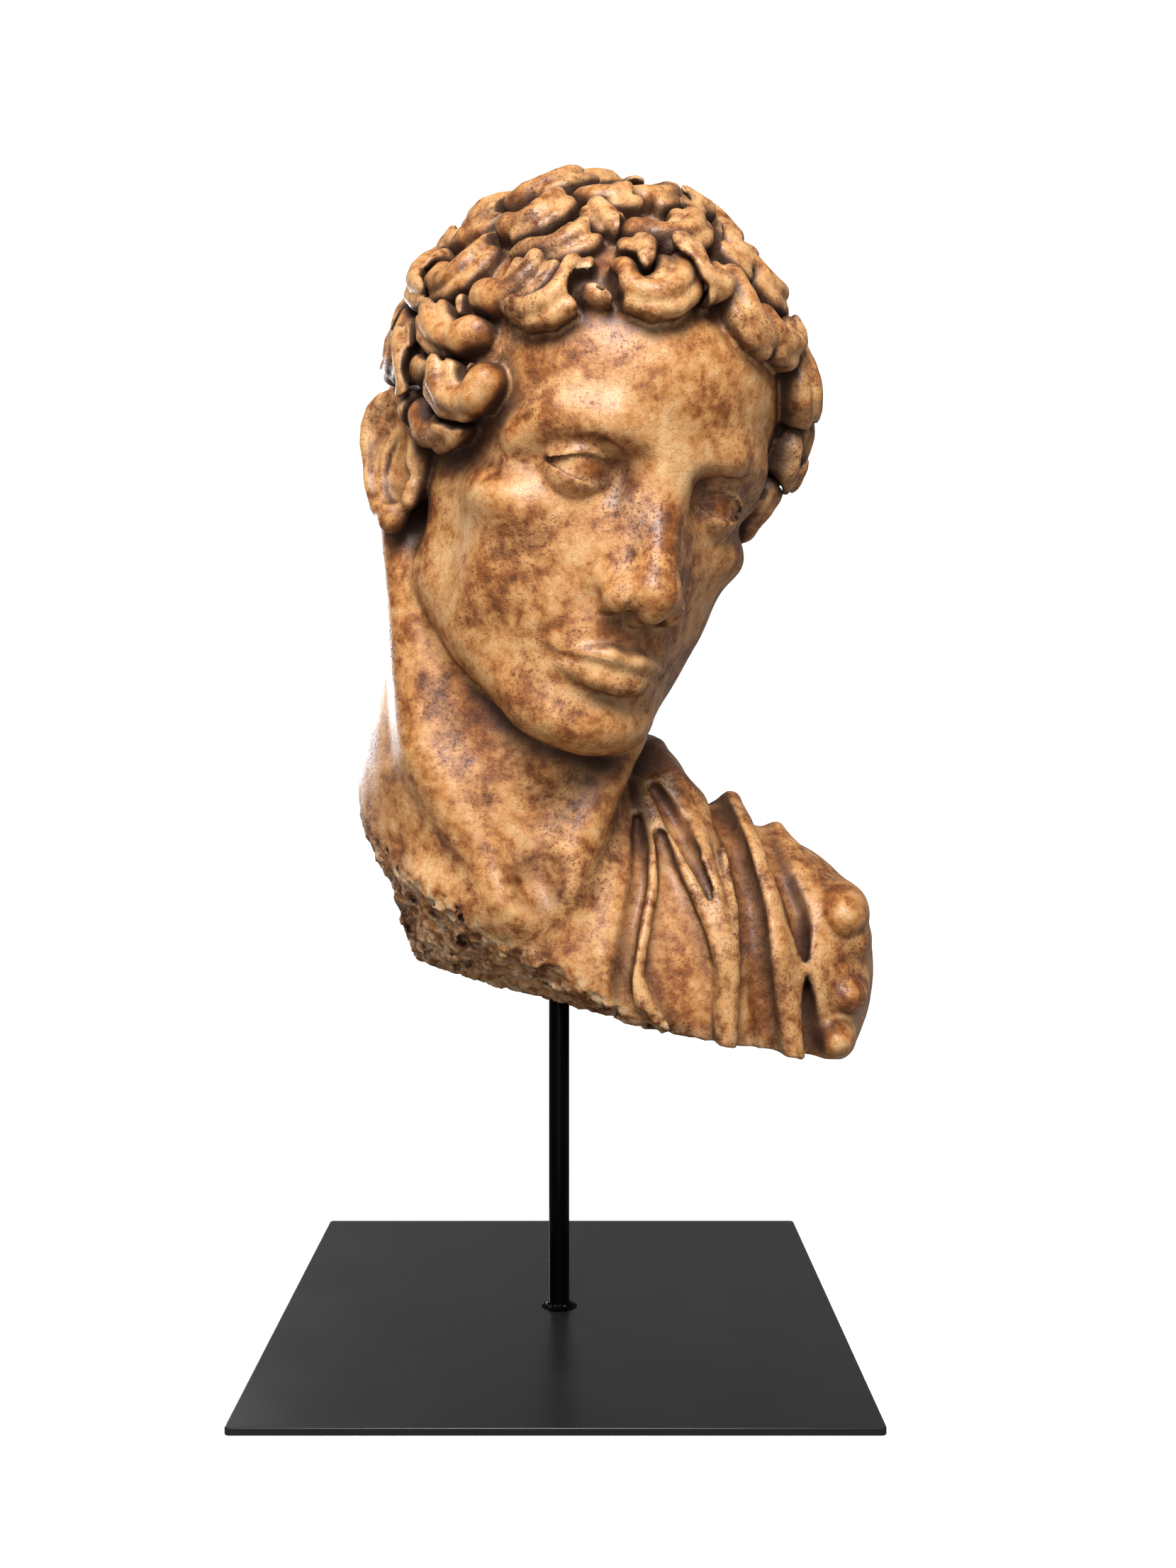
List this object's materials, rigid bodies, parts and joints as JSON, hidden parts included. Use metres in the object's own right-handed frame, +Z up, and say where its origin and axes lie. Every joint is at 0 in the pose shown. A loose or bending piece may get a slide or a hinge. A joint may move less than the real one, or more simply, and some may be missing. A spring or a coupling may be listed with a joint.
{
  "type": "portrait bust on a stand",
  "caption": "Weathered carved marble portrait bust fragment, head turned and bowed over a draped shoulder, held on a thin black rod on a square black plate.",
  "frame": {"origin": "centre of the plate's underside, under the axis of the rod", "axes": "+Z up along the rod, -Y towards the front of the bust, +X towards the draped shoulder"},
  "size_m": [0.2774, 0.254, 0.5296],
  "materials": {
    "marble": "waxed, brown stained marble with pale worn high spots, dark dirt in the hollows and fine pits",
    "black_paint": "satin black paint on steel, smooth, with a soft reflection of the rod in the plate"
  },
  "bodies": {
    "root": {"bust": "marble", "rod": "black_paint", "base_plate": "black_paint"}
  },
  "joints": []
}
